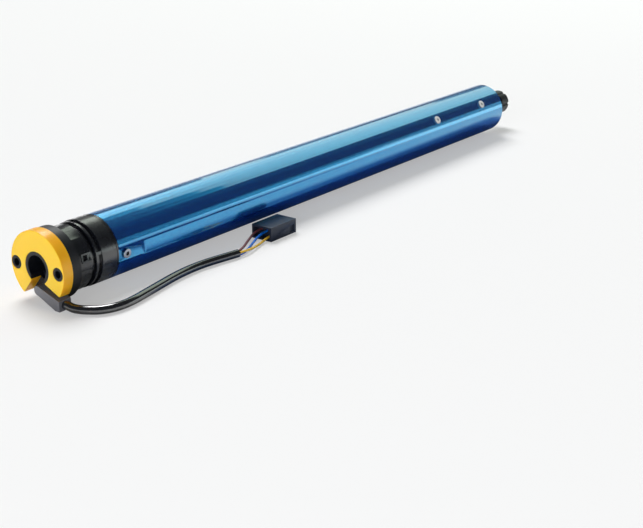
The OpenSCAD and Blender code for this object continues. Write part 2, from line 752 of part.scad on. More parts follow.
module planet(x, w, deg) {
    color("khaki") rotate([deg, 0, 0]) translate([0, planet_c, 0]) difference() {
        prism_x(x, w) gear(planet_n, gear_m, 0);
        rod(x - cut, pin_r + run, w + 2 * cut);
    }
}
module planet_1a() { planet(stage_x1, stage_w[0], planet_deg[0]); }
module planet_1b() { planet(stage_x1, stage_w[0], planet_deg[1]); }
module planet_1c() { planet(stage_x1, stage_w[0], planet_deg[2]); }
module planet_2a() { planet(stage_x2, stage_w[1], planet_deg[0]); }
module planet_2b() { planet(stage_x2, stage_w[1], planet_deg[1]); }
module planet_2c() { planet(stage_x2, stage_w[1], planet_deg[2]); }
module planet_3a() { planet(stage_x3, stage_w[2], planet_deg[0]); }
module planet_3b() { planet(stage_x3, stage_w[2], planet_deg[1]); }
module planet_3c() { planet(stage_x3, stage_w[2], planet_deg[2]); }
module lobed(x, r, len) {
    difference() {
        rod(x, r, len);
        for (i = [0 : lobes - 1]) turned(360 * (i + 0.5) / lobes)
            translate([0, 0, r + 0.4]) rod(x - cut, lobe_cut_r, len + 2 * cut);
    }
}
module output_hub() {
    groove_x = hub_x + hub_len;
    color([0.12, 0.12, 0.13]) {
        lobed(hub_x, hub_r, hub_len);
        rod(groove_x, hub_groove[0], hub_groove[1]);
        lobed(groove_x + hub_groove[1], hub_end_r, hub_end_len);
    }
}
module output_bearing() {
    color([0.22, 0.22, 0.23]) difference() {
        rod(bearing_x, fit_r, tube_end - bearing_x - inset);
        rod(bearing_x - cut, output_r + run, tube_end);
        rod(tube_end - inset - seal_len, output_r + seal_wall + seat, seal_len + cut);
        screw_holes(far_rows[1]);
    }
}
module output_seal() {
    color([0.05, 0.05, 0.05])
        ring(tube_end - inset - seal_len, output_r + seal_wall, output_r + run, seal_len);
}

head_cap();
bore_ring();
fixing_bushes();
threaded_inserts();
head_body();
crown_washer();
crown();
counter_pinion();
counter_magnet();
tube_collar();
collar_screw();
motor_tube();
cable_plug();
plug_contacts();
cable_jacket();
wire_brown();
wire_blue();
wire_yellow();
connector_housing();
connector_terminals();
counter_board();
board_carrier();
circuit_board();
capacitors();
microcontroller();
radio_module();
power_transistors();
rear_end_bell();
motor_can();
field_magnets();
front_end_bell();
rear_bearing();
front_bearing();
brushes();
rotor_shaft();
armature_core();
armature_windings();
commutator();
brake_body();
brake_coil();
brake_disc();
gear_housing();
sun_gear();
carrier_1();
carrier_2();
planet_1a();
planet_1b();
planet_1c();
planet_2a();
planet_2b();
planet_2c();
planet_3a();
planet_3b();
planet_3c();
output_carrier();
output_hub();
output_bearing();
output_seal();
tube_screws();
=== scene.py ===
"""Dresses the tubular blind motor: camera, cable, studio, finishes and softened edges."""

import json
import math

import bmesh
import bpy
from bpy.props import FloatProperty, FloatVectorProperty, PointerProperty
from mathutils import Matrix, Vector


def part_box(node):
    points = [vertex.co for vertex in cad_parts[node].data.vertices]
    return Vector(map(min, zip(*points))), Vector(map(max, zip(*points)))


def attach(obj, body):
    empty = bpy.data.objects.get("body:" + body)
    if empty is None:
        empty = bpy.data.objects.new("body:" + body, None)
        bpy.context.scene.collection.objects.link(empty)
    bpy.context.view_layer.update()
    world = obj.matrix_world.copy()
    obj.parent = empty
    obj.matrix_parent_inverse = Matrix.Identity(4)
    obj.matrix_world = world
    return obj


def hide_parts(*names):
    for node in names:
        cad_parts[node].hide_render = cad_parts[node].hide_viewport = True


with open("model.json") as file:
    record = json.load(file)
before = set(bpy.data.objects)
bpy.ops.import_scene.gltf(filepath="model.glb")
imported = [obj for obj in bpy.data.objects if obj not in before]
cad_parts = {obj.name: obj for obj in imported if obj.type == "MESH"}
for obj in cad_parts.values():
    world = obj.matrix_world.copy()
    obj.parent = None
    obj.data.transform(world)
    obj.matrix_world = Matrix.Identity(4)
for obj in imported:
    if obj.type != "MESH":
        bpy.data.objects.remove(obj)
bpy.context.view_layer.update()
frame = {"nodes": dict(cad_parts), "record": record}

bl_info = {
    "name": "Tubular Blind Motor",
    "version": (1, 0, 0),
    "blender": (4, 5, 0),
    "location": "3D View > Sidebar > Blind Motor",
    "description": "Builds the looks of a tubular blind motor on its solid model",
    "category": "Object",
}

# the camera, fitted to the photograph: its place, and its right, down and forward directions
CAMERA_PLACE = (-0.3963, -0.4944, 0.2306)
CAMERA_RIGHT = (0.5994, -0.8004, 0.0)
CAMERA_DOWN = (-0.2789, -0.2089, -0.9373)
CAMERA_FORWARD = (0.7502, 0.5619, -0.3485)
SENSOR_WIDTH = 36.0  # millimetres
CLIP_START = 0.01
CLIP_END = 50.0

# the routes of the cable and of its three wires, in metres
JACKET_ROUTE = [
    (0.0023, -0.0186, -0.0182), (0.0023, -0.0214, -0.0182), (0.0024, -0.025, -0.0186),
    (0.0038, -0.0296, -0.0188), (0.006, -0.0336, -0.0188), (0.009, -0.0374, -0.0188),
    (0.0132, -0.0404, -0.0188), (0.018, -0.0422, -0.0188), (0.0235, -0.0429, -0.0188),
    (0.031, -0.0426, -0.0188), (0.04, -0.0412, -0.0188), (0.05, -0.0394, -0.0188),
    (0.06, -0.0376, -0.0188), (0.07, -0.0359, -0.0188), (0.08, -0.0348, -0.0188),
    (0.09, -0.0345, -0.0188), (0.1, -0.0351, -0.0188), (0.11, -0.0366, -0.0188),
    (0.118, -0.038, -0.0188), (0.125, -0.0392, -0.0188),
]
WIRE_ROUTES = {
    "wire_brown": [
        (0.125, -0.0383, -0.0182), (0.127, -0.0381, -0.0181), (0.13, -0.0374, -0.018),
        (0.133, -0.0364, -0.0179), (0.136, -0.0352, -0.0177), (0.139, -0.0338, -0.0175),
        (0.142, -0.0324, -0.0173), (0.145, -0.0311, -0.0171), (0.148, -0.0298, -0.0169),
        (0.151, -0.0285, -0.0167), (0.154, -0.0274, -0.0165), (0.157, -0.0266, -0.0163),
        (0.16, -0.026, -0.0162), (0.163, -0.0258, -0.0161), (0.165, -0.0258, -0.016),
    ],
    "wire_blue": [
        (0.125, -0.0394, -0.0199), (0.127, -0.0394, -0.0199), (0.13, -0.0392, -0.0199),
        (0.133, -0.0386, -0.0198), (0.136, -0.0378, -0.0196), (0.139, -0.0368, -0.0193),
        (0.142, -0.0356, -0.019), (0.145, -0.0345, -0.0186), (0.148, -0.0334, -0.0182),
        (0.151, -0.0323, -0.0178), (0.154, -0.0314, -0.0175), (0.157, -0.0308, -0.0172),
        (0.16, -0.0304, -0.0169), (0.163, -0.0302, -0.0168), (0.165, -0.0302, -0.0167),
    ],
    "wire_yellow": [
        (0.125, -0.0402, -0.0183), (0.127, -0.0405, -0.0183), (0.13, -0.0407, -0.0184),
        (0.133, -0.0406, -0.0186), (0.136, -0.0402, -0.0189), (0.139, -0.0396, -0.0192),
        (0.142, -0.0388, -0.0195), (0.145, -0.038, -0.0197), (0.148, -0.0372, -0.0198),
        (0.151, -0.0364, -0.0198), (0.154, -0.0356, -0.0196), (0.157, -0.035, -0.0193),
        (0.16, -0.0346, -0.019), (0.163, -0.0344, -0.0189), (0.165, -0.0344, -0.0188),
    ],
}
# how finely the cable's curves are divided, round their section and along their route
SECTION_STEPS = 5
ROUTE_STEPS = 6

# softened solids: points nearer than the first are joined, faces that turn less than the
# second are merged, and edges that turn more than the third are rounded
WELD_DISTANCE = 0.000001
FLAT_ANGLE = math.radians(1.0)
CORNER_ANGLE = math.radians(35.0)

# the sockets of a Mix node that mixes two colours
MIX_A, MIX_B, MIX_RESULT = 6, 7, 2

# noise of the moulded grain, of its mottled gloss and of the uneven tone; a span holds the
# noise values that the whole range is spread over
GRAIN_DETAIL = 2.0
MOTTLE_SCALE = 90.0
MOTTLE_SPAN = (0.35, 0.65)
TONE_DETAIL = 3.0
TONE_SPAN = (0.3, 0.7)
# a higher power leaves fewer bright flakes, and makes the painted shade in hollows darker
FLAKE_POWER = 2.0
PAINTED_SHADE_POWER = 3.0
PAINTED_SHADE_SAMPLES = 8

# height of the surface grain in metres; drawn is the skin of a cable or wire
MOULDED_DEPTH = 0.00001
POLISHED_DEPTH = 0.000004
DRAWN_DEPTH = 0.000003
METAL_DEPTH = 0.000005
FLAKE_DEPTH = 0.00003

# the glossier neck's span along X
NECK_SPAN = (0.0135, 0.07)
# the tube's lacquer: share of the flakes over the ground, and its clear coat
FLAKE_SHARE = 0.74
CLEAR_COAT = {"Coat Weight": 1.0, "Coat Roughness": 0.04, "Coat IOR": 1.65}

DRAWN = {"scale": 900.0, "depth": DRAWN_DEPTH}
# finishes by material slot: name, colour or the panel's name for it, range of the roughness,
# and what else sets the finish apart
PLASTICS = {
    "dark_plastic": ("smooth black plastic", "black", (0.24, 0.3), {
        "depth": POLISHED_DEPTH, "Specular IOR Level": 0.5, "Coat Weight": 1.0,
        "Coat IOR": 1.62, "Coat Roughness": 0.18,
    }),
    "plug_grey": ("grey plug plastic", "plug", (0.3, 0.4), {"depth": 0.000008}),
    "connector_black": ("connector plastic", "connector", (0.3, 0.4), {"scale": 2600.0}),
    # painted shade: the white lacquer is darkened in its hollows
    "white_metal": ("white lacquer", (0.93, 0.93, 0.93), (0.3, 0.4), {
        "scale": 2000.0, "depth": POLISHED_DEPTH, "uneven": 0.04, "hollow": 0.001,
    }),
    "cable_black": ("glossy black jacket", (0.008, 0.009, 0.012), (0.16, 0.22), {
        **DRAWN, "Coat Weight": 1.0, "Coat IOR": 1.9, "Coat Roughness": 0.1,
    }),
    "wire_brown": ("brown insulation", (0.22, 0.06, 0.075), (0.25, 0.33), DRAWN),
    "wire_blue": ("blue insulation", (0.01, 0.2, 0.9), (0.25, 0.33), DRAWN),
    "wire_yellow": ("yellow insulation", (0.98, 0.6, 0.06), (0.25, 0.33), DRAWN),
    "board_green": ("green solder resist", (0.015, 0.13, 0.05), (0.25, 0.35), {"scale": 1500.0}),
    "chip_black": ("chip resin", (0.02, 0.02, 0.02), (0.45, 0.6), {}),
    "capacitor_sleeve": ("capacitor sleeve", (0.02, 0.04, 0.16), (0.2, 0.3), {}),
    "grey_plastic": ("grey plastic", (0.45, 0.45, 0.43), (0.4, 0.5), {}),
    "gear_plastic": ("gear plastic", (0.75, 0.69, 0.5), (0.35, 0.45), {}),
    "ferrite": ("ferrite", (0.05, 0.05, 0.055), (0.45, 0.6), {}),
    "carbon": ("carbon", (0.025, 0.025, 0.027), (0.4, 0.55), {}),
}
METALS = {
    # painted shade: the zinc is darkened in hollows such as the screw's socket
    "bright_steel": ("bright zinc", (0.6, 0.61, 0.63), (0.16, 0.26), {"hollow": 0.0012}),
    "brass": ("brass", (0.78, 0.53, 0.2), (0.25, 0.38), {}),
    "gear_steel": ("oiled steel", (0.5, 0.51, 0.53), (0.25, 0.4), {}),
    "copper": ("enamelled copper", (0.72, 0.33, 0.14), (0.22, 0.35), {}),
    "aluminium": ("cast aluminium", (0.68, 0.69, 0.7), (0.35, 0.5), {}),
}

FLOOR_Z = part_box("head_body")[0].z
FLOOR_REACH = 40.0
# light that the floor gives off to the camera alone, so that it looks pale in a shadow too
FLOOR_GLOW = 0.4
# painted shadow: the dark strip of floor beside the tube, seen only in mirror images and bounced
# light; along each axis its middle, and how far from there it begins to fade and ends
PAINTED_SHADOW_STRIP = (("X", 0.29, 0.23, 0.25), ("Y", 0.0, 0.036, 0.062))

# soft boxes: name, place, the point it faces, width and height, watts, colour, and whether
# mirror images show it
SOFT_BOXES = (
    ("back soft box", (1.87, 0.5, 1.16), (0.25, 0.0, 0.0), (2.0, 1.1), 8.6,
     (0.86, 1.0, 0.84), True),
    ("front soft box", (1.74, -1.16, 0.12), (0.2, 0.0, 0.0), (1.3, 0.26), 1.2,
     (0.8, 1.0, 0.95), True),
    ("head soft box", (-3.1, -1.1, 0.65), (0.0, 0.0, 0.0), (2.6, 1.2), 64.0,
     (1.0, 1.0, 1.0), False),
)
TOP_LIGHT_STRENGTH = 3.2
TOP_LIGHT_SPREAD = math.radians(32.0)
TOP_LIGHT_DIRECTION = (-0.3, -0.5, -0.82)
# the studio wall: colour, brightness at the horizon and above, and the heights between them
WALL_COLOUR = (0.97, 0.99, 1.0, 1.0)
WALL_LOW, WALL_HIGH = 0.95, 0.05
WALL_SPAN = (0.0, 0.22)

# filled by make_finishes: the material of each slot
FINISHES = {}


class BlindMotorSizes(bpy.types.PropertyGroup):
    """Sizes of the looks: edge roundings, cable and lens"""

    edge_round: FloatProperty(
        name="Moulded edge", description="Rounding of the moulded edges",
        default=0.0004, unit="LENGTH",
    )
    fine_round: FloatProperty(
        name="Fine edge", description="Rounding of turned and pressed edges",
        default=0.0002, unit="LENGTH",
    )
    plug_round: FloatProperty(
        name="Plug edge", description="Rounding of the cable plug",
        default=0.0006, unit="LENGTH",
    )
    cable_width: FloatProperty(
        name="Cable", description="Diameter of the cable's jacket",
        default=0.0052, unit="LENGTH",
    )
    wire_width: FloatProperty(
        name="Wire", description="Diameter of each wire",
        default=0.0016, unit="LENGTH",
    )
    lens: FloatProperty(
        name="Lens", description="Focal length in millimetres",
        default=66.06, unit="CAMERA",
    )


class BlindMotorColours(bpy.types.PropertyGroup):
    """Colours of the finishes"""

    cap: FloatVectorProperty(
        name="Cap", description="Colour of the head's cap",
        default=(1.0, 0.62, 0.025), subtype="COLOR",
    )
    # painted shade: the rim's deeper orange stands in for the lesser light on the cap's side
    cap_rim: FloatVectorProperty(
        name="Cap rim", description="Colour of the cap's rim",
        default=(0.98, 0.46, 0.012), subtype="COLOR",
    )
    paint: FloatVectorProperty(
        name="Tube paint", description="Colour of the tube's metallic paint",
        default=(0.0, 0.3, 0.58), subtype="COLOR",
    )
    flake: FloatVectorProperty(
        name="Tube flake", description="Colour of the brightest flakes",
        default=(0.01, 0.44, 0.7), subtype="COLOR",
    )
    ground: FloatVectorProperty(
        name="Tube ground", description="Colour of the paint under the flakes",
        default=(0.0, 0.045, 0.55), subtype="COLOR",
    )
    black: FloatVectorProperty(
        name="Black plastic", description="Colour of the moulded black pieces",
        default=(0.006, 0.007, 0.011), subtype="COLOR",
    )
    plug: FloatVectorProperty(
        name="Plug", description="Colour of the cable plug",
        default=(0.16, 0.162, 0.185), subtype="COLOR",
    )
    connector: FloatVectorProperty(
        name="Connector", description="Colour of the connector",
        default=(0.02, 0.025, 0.042), subtype="COLOR",
    )
    floor: FloatVectorProperty(
        name="Floor", description="Colour of the floor to the camera",
        default=(0.5, 0.5, 0.505), subtype="COLOR",
    )
    bounce: FloatVectorProperty(
        name="Bounce", description="Colour of the floor to mirror images and bounced light",
        default=(0.9, 0.9, 0.9), subtype="COLOR",
    )
    # painted shadow: the dark tone of the floor beside the tube, in mirror images and bounced
    # light
    strip: FloatVectorProperty(
        name="Strip", description="Colour that the tube mirrors from beside it",
        default=(0.12, 0.2, 0.4), subtype="COLOR",
    )


def set_sockets(node, values):
    """Sets a node's input sockets, by name or number"""
    for socket, value in values.items():
        node.inputs[socket].default_value = value


class Graph:
    """Short calls for making and joining shader nodes in one tree"""

    def __init__(self, tree):
        self.tree = tree
        tree.nodes.clear()

    def add(self, kind, sockets=None, **properties):
        """A new node with these properties and these values on its input sockets"""
        node = self.tree.nodes.new(kind)
        for name, value in properties.items():
            setattr(node, name, value)
        set_sockets(node, sockets or {})
        return node

    def join(self, source, target):
        """Links an output socket to an input socket"""
        self.tree.links.new(source, target)


def new_group(name, inputs, outputs):
    """An empty shader node group with named sockets; returns its graph and its two end nodes"""
    tree = bpy.data.node_groups.new(name, "ShaderNodeTree")
    for label, kind, value in inputs:
        socket = tree.interface.new_socket(label, in_out="INPUT", socket_type=kind)
        socket.default_value = value
    for label, kind in outputs:
        tree.interface.new_socket(label, in_out="OUTPUT", socket_type=kind)
    graph = Graph(tree)
    return graph, graph.add("NodeGroupInput"), graph.add("NodeGroupOutput")


def from_span(span):
    """The sockets of a Map Range node that reads values in this span"""
    return {"From Min": span[0], "From Max": span[1]}


def make_grain_group():
    """Fine moulded grain: a height and a mottled roughness"""
    graph, given, result = new_group(
        "moulded grain",
        [("Scale", "NodeSocketFloat", 2500.0), ("Smooth", "NodeSocketFloat", 0.3),
         ("Rough", "NodeSocketFloat", 0.4)],
        [("Height", "NodeSocketFloat"), ("Roughness", "NodeSocketFloat")],
    )
    place = graph.add("ShaderNodeTexCoord")
    fine = graph.add("ShaderNodeTexNoise", {"Detail": GRAIN_DETAIL}, noise_dimensions="3D")
    broad = graph.add("ShaderNodeTexNoise", {"Scale": MOTTLE_SCALE}, noise_dimensions="3D")
    spread = graph.add("ShaderNodeMapRange", from_span(MOTTLE_SPAN))
    graph.join(place.outputs["Object"], fine.inputs["Vector"])
    graph.join(place.outputs["Object"], broad.inputs["Vector"])
    graph.join(given.outputs["Scale"], fine.inputs["Scale"])
    graph.join(broad.outputs["Fac"], spread.inputs["Value"])
    graph.join(given.outputs["Smooth"], spread.inputs["To Min"])
    graph.join(given.outputs["Rough"], spread.inputs["To Max"])
    graph.join(fine.outputs["Fac"], result.inputs["Height"])
    graph.join(spread.outputs["Result"], result.inputs["Roughness"])
    return graph.tree


def make_flake_group():
    """Metallic flakes in a lacquer: a colour that sparkles a little, and a height"""
    graph, given, result = new_group(
        "metal flakes",
        [("Base", "NodeSocketColor", (0.0, 0.1, 0.4, 1.0)),
         ("Flake", "NodeSocketColor", (0.0, 0.2, 0.5, 1.0)),
         ("Scale", "NodeSocketFloat", 1400.0), ("Amount", "NodeSocketFloat", 0.5)],
        [("Color", "NodeSocketColor"), ("Height", "NodeSocketFloat")],
    )
    place = graph.add("ShaderNodeTexCoord")
    cells = graph.add("ShaderNodeTexVoronoi", feature="F1")
    split = graph.add("ShaderNodeSeparateColor")
    level = graph.add("ShaderNodeMath", {1: FLAKE_POWER}, operation="POWER")
    share = graph.add("ShaderNodeMath", operation="MULTIPLY")
    mix = graph.add("ShaderNodeMix", data_type="RGBA")
    graph.join(place.outputs["Object"], cells.inputs["Vector"])
    graph.join(given.outputs["Scale"], cells.inputs["Scale"])
    graph.join(cells.outputs["Color"], split.inputs["Color"])
    graph.join(split.outputs["Red"], level.inputs[0])
    graph.join(level.outputs["Value"], share.inputs[0])
    graph.join(given.outputs["Amount"], share.inputs[1])
    graph.join(share.outputs["Value"], mix.inputs["Factor"])
    graph.join(given.outputs["Base"], mix.inputs[MIX_A])
    graph.join(given.outputs["Flake"], mix.inputs[MIX_B])
    graph.join(mix.outputs[MIX_RESULT], result.inputs["Color"])
    graph.join(split.outputs["Green"], result.inputs["Height"])
    return graph.tree


def make_tone_group():
    """Slight unevenness of a colour, from handling and moulding"""
    graph, given, result = new_group(
        "uneven tone",
        [("Color", "NodeSocketColor", (0.5, 0.5, 0.5, 1.0)), ("Scale", "NodeSocketFloat", 60.0),
         ("Amount", "NodeSocketFloat", 0.1)],
        [("Color", "NodeSocketColor")],
    )
    place = graph.add("ShaderNodeTexCoord")
    cloud = graph.add("ShaderNodeTexNoise", {"Detail": TONE_DETAIL})
    spread = graph.add("ShaderNodeMapRange", from_span(TONE_SPAN))
    low = graph.add("ShaderNodeMath", {0: 1.0}, operation="SUBTRACT")
    scaled = graph.add("ShaderNodeVectorMath", operation="SCALE")
    graph.join(place.outputs["Object"], cloud.inputs["Vector"])
    graph.join(given.outputs["Scale"], cloud.inputs["Scale"])
    graph.join(cloud.outputs["Fac"], spread.inputs["Value"])
    graph.join(given.outputs["Amount"], low.inputs[1])
    graph.join(low.outputs["Value"], spread.inputs["To Min"])
    graph.join(given.outputs["Color"], scaled.inputs[0])
    graph.join(spread.outputs["Result"], scaled.inputs["Scale"])
    graph.join(scaled.outputs["Vector"], result.inputs["Color"])
    return graph.tree


def add_group(graph, name, maker, **values):
    """A node of the named group, which maker makes the first time it is asked for"""
    tree = bpy.data.node_groups.get(name) or maker()
    return graph.add("ShaderNodeGroup", values, node_tree=tree)


def add_grain(graph, scale, roughness):
    """Moulded grain of this scale, its roughness mottled over a range"""
    smooth, rough = roughness
    return add_group(
        graph, "moulded grain", make_grain_group, Scale=scale, Smooth=smooth, Rough=rough
    )


def add_tone(graph, colour, uneven=0.12):
    """The colour, uneven by this share of its brightness"""
    return add_group(graph, "uneven tone", make_tone_group, Color=(*colour, 1.0), Amount=uneven)


def new_finish(name, values):
    """A material with a Principled shader of these values; returns material, graph and shader"""
    material = bpy.data.materials.new(name)
    material.use_nodes = True
    graph = Graph(material.node_tree)
    shader = graph.add("ShaderNodeBsdfPrincipled", values)
    output = graph.add("ShaderNodeOutputMaterial")
    graph.join(shader.outputs["BSDF"], output.inputs["Surface"])
    return material, graph, shader


def paint_shade_in_hollows(graph, colour, reach):
    """The colour with painted shade, darker in hollows narrower than reach"""
    open_sky = graph.add(
        "ShaderNodeAmbientOcclusion", {"Distance": reach}, samples=PAINTED_SHADE_SAMPLES
    )
    deep = graph.add("ShaderNodeMath", {1: PAINTED_SHADE_POWER}, operation="POWER")
    scaled = graph.add("ShaderNodeVectorMath", operation="SCALE")
    graph.join(open_sky.outputs["AO"], deep.inputs[0])
    graph.join(colour, scaled.inputs[0])
    graph.join(deep.outputs["Value"], scaled.inputs["Scale"])
    return scaled.outputs["Vector"]


def plastic_finish(
    name, colour, roughness, scale=2500.0, depth=MOULDED_DEPTH, uneven=0.12, hollow=0.0, **more
):
    """Moulded plastic, rubber or resin: even colour, fine grain, mottled gloss, and painted
    shade in hollows where a reach is given
    """
    material, graph, shader = new_finish(name, more)
    shown = add_tone(graph, colour, uneven).outputs["Color"]
    # painted shade: hollows darkened by ambient occlusion
    if hollow:
        shown = paint_shade_in_hollows(graph, shown, hollow)
    grain = add_grain(graph, scale, roughness)
    bump = graph.add("ShaderNodeBump", {"Distance": depth})
    graph.join(shown, shader.inputs["Base Color"])
    graph.join(grain.outputs["Roughness"], shader.inputs["Roughness"])
    graph.join(grain.outputs["Height"], bump.inputs["Height"])
    graph.join(bump.outputs["Normal"], shader.inputs["Normal"])
    return material


def metal_finish(name, colour, roughness, hollow=0.0):
    """Bare metal: a shallower grain and a more even colour under a metallic shader, with painted
    shade in hollows where a reach is given
    """
    return plastic_finish(
        name, colour, roughness, scale=1800.0, depth=METAL_DEPTH, uneven=0.08, hollow=hollow,
        Metallic=1.0,
    )


def cap_plastic(colours):
    """Warm yellow plastic, with painted shade: a deeper orange on the rim than on the flat face,
    where less light falls
    """
    material, graph, shader = new_finish("warm yellow plastic", {
        "Subsurface Weight": 0.35, "Subsurface Radius": (1.0, 0.45, 0.08),
        "Subsurface Scale": 0.0015,
    })
    turn = graph.add("ShaderNodeTexCoord")
    split = graph.add("ShaderNodeSeparateXYZ")
    facing = graph.add("ShaderNodeMath", operation="ABSOLUTE")
    # painted shade: the face, turned along X, takes the cap colour and the side the darker rim
    # colour
    blend = graph.add(
        "ShaderNodeMix", {MIX_A: (*colours.cap_rim, 1.0), MIX_B: (*colours.cap, 1.0)},
        data_type="RGBA",
    )
    grain = add_grain(graph, scale=3000.0, roughness=(0.28, 0.36))
    graph.join(turn.outputs["Normal"], split.inputs["Vector"])
    graph.join(split.outputs["X"], facing.inputs[0])
    graph.join(facing.outputs["Value"], blend.inputs["Factor"])
    graph.join(blend.outputs[MIX_RESULT], shader.inputs["Base Color"])
    graph.join(grain.outputs["Roughness"], shader.inputs["Roughness"])
    return material


def head_plastic(colours):
    """Black plastic, matt but for the glossier neck"""
    material, graph, shader = new_finish("black plastic of the head", {
        "Specular IOR Level": 0.4, "Coat IOR": 1.38, "Coat Roughness": 0.16,
    })
    tone = add_tone(graph, colours.black)
    matt = add_grain(graph, scale=2200.0, roughness=(0.4, 0.5))
    gloss = add_grain(graph, scale=2500.0, roughness=(0.24, 0.3))
    place = graph.add("ShaderNodeTexCoord")
    split = graph.add("ShaderNodeSeparateXYZ")
    start, end = NECK_SPAN
    on_neck = graph.add(
        "ShaderNodeMath", {1: (start + end) / 2, 2: (end - start) / 2}, operation="COMPARE"
    )
    blend = graph.add("ShaderNodeMix")
    bump = graph.add("ShaderNodeBump", {"Distance": MOULDED_DEPTH})
    graph.join(place.outputs["Object"], split.inputs["Vector"])
    graph.join(split.outputs["X"], on_neck.inputs[0])
    graph.join(on_neck.outputs["Value"], blend.inputs["Factor"])
    graph.join(matt.outputs["Roughness"], blend.inputs["A"])
    graph.join(gloss.outputs["Roughness"], blend.inputs["B"])
    graph.join(blend.outputs["Result"], shader.inputs["Roughness"])
    graph.join(on_neck.outputs["Value"], shader.inputs["Coat Weight"])
    graph.join(tone.outputs["Color"], shader.inputs["Base Color"])
    graph.join(matt.outputs["Height"], bump.inputs["Height"])
    graph.join(bump.outputs["Normal"], shader.inputs["Normal"])
    return material


def tube_paint(colours):
    """Blue flakes over a deep blue ground, both under a clear coat"""
    material, graph, shader = new_finish("blue metallic lacquer", {
        **CLEAR_COAT, "Metallic": 1.0, "Roughness": 0.21,
    })
    ground = graph.add("ShaderNodeBsdfPrincipled", {
        **CLEAR_COAT, "Base Color": (*colours.ground, 1.0), "Roughness": 0.4,
    })
    flakes = add_group(
        graph, "metal flakes", make_flake_group, Scale=1500.0, Amount=0.75,
        Base=(*colours.paint, 1.0), Flake=(*colours.flake, 1.0),
    )
    bump = graph.add("ShaderNodeBump", {"Distance": FLAKE_DEPTH, "Strength": 0.5})
    blend = graph.add("ShaderNodeMixShader", {"Fac": FLAKE_SHARE})
    output = shader.outputs["BSDF"].links[0].to_socket
    graph.join(flakes.outputs["Color"], shader.inputs["Base Color"])
    graph.join(flakes.outputs["Height"], bump.inputs["Height"])
    for layer in (shader, ground):
        graph.join(bump.outputs["Normal"], layer.inputs["Normal"])
    graph.join(ground.outputs["BSDF"], blend.inputs[1])
    graph.join(shader.outputs["BSDF"], blend.inputs[2])
    graph.join(blend.outputs["Shader"], output)
    return material


def floor_finish(colours):
    """Floor that is pale to the camera, while mirror images and bounced light see a painted
    shadow, a dark strip beside the tube
    """
    material, graph, shader = new_finish("studio floor", {
        "Emission Color": (1.0, 1.0, 1.0, 1.0), "Roughness": 0.6, "Specular IOR Level": 0.0,
    })
    rays = graph.add("ShaderNodeLightPath")
    place = graph.add("ShaderNodeTexCoord")
    split = graph.add("ShaderNodeSeparateXYZ")
    outside_painted_shadow = graph.add("ShaderNodeMath", operation="MAXIMUM")
    graph.join(place.outputs["Object"], split.inputs["Vector"])
    for slot, (axis, middle, start, end) in enumerate(PAINTED_SHADOW_STRIP):
        offset = graph.add("ShaderNodeMath", {1: middle}, operation="SUBTRACT")
        distance = graph.add("ShaderNodeMath", operation="ABSOLUTE")
        fade = graph.add(
            "ShaderNodeMapRange", from_span((start, end)), interpolation_type="SMOOTHSTEP"
        )
        graph.join(split.outputs[axis], offset.inputs[0])
        graph.join(offset.outputs["Value"], distance.inputs[0])
        graph.join(distance.outputs["Value"], fade.inputs["Value"])
        graph.join(fade.outputs["Result"], outside_painted_shadow.inputs[slot])
    # painted shadow: rays other than the camera's see the dark strip near the tube
    unseen_with_painted_shadow = graph.add(
        "ShaderNodeMix", {MIX_A: (*colours.strip, 1.0), MIX_B: (*colours.bounce, 1.0)},
        data_type="RGBA",
    )
    tone = graph.add("ShaderNodeMix", {MIX_B: (*colours.floor, 1.0)}, data_type="RGBA")
    glow = graph.add("ShaderNodeMath", {1: FLOOR_GLOW}, operation="MULTIPLY")
    graph.join(outside_painted_shadow.outputs["Value"], unseen_with_painted_shadow.inputs["Factor"])
    graph.join(unseen_with_painted_shadow.outputs[MIX_RESULT], tone.inputs[MIX_A])
    graph.join(rays.outputs["Is Camera Ray"], tone.inputs["Factor"])
    graph.join(rays.outputs["Is Camera Ray"], glow.inputs[0])
    graph.join(tone.outputs[MIX_RESULT], shader.inputs["Base Color"])
    graph.join(glow.outputs["Value"], shader.inputs["Emission Strength"])
    return material


def make_finishes(colours):
    """Every finish of the record's material slots"""
    FINISHES["cap_yellow"] = cap_plastic(colours)
    FINISHES["black_plastic"] = head_plastic(colours)
    FINISHES["tube_blue"] = tube_paint(colours)
    for maker, table in ((plastic_finish, PLASTICS), (metal_finish, METALS)):
        for slot, (name, colour, roughness, more) in table.items():
            if isinstance(colour, str):
                colour = getattr(colours, colour)
            FINISHES[slot] = maker(name, colour, roughness, **more)


def slot_of(node):
    """The material slot of a solid, as the record gives it"""
    return next(p["material_slot"] for p in frame["record"]["subparts"] if p["node"] == node)


def body_of(node):
    """The body that a solid rides on, as the record gives it"""
    bodies = frame["record"]["behaviour"]["bodies"]
    return next(body for body, nodes in bodies.items() if node in nodes)


def finish_node(node):
    """Gives a solid of the model its finish"""
    materials = frame["nodes"][node].data.materials
    materials.clear()
    materials.append(FINISHES[slot_of(node)])


def new_piece(name, data, node):
    """A new piece in the place of a solid, with that solid's finish and body"""
    piece = bpy.data.objects.new(name, data)
    bpy.context.scene.collection.objects.link(piece)
    data.materials.clear()
    data.materials.append(FINISHES[slot_of(node)])
    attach(piece, body_of(node))
    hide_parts(node)
    return piece


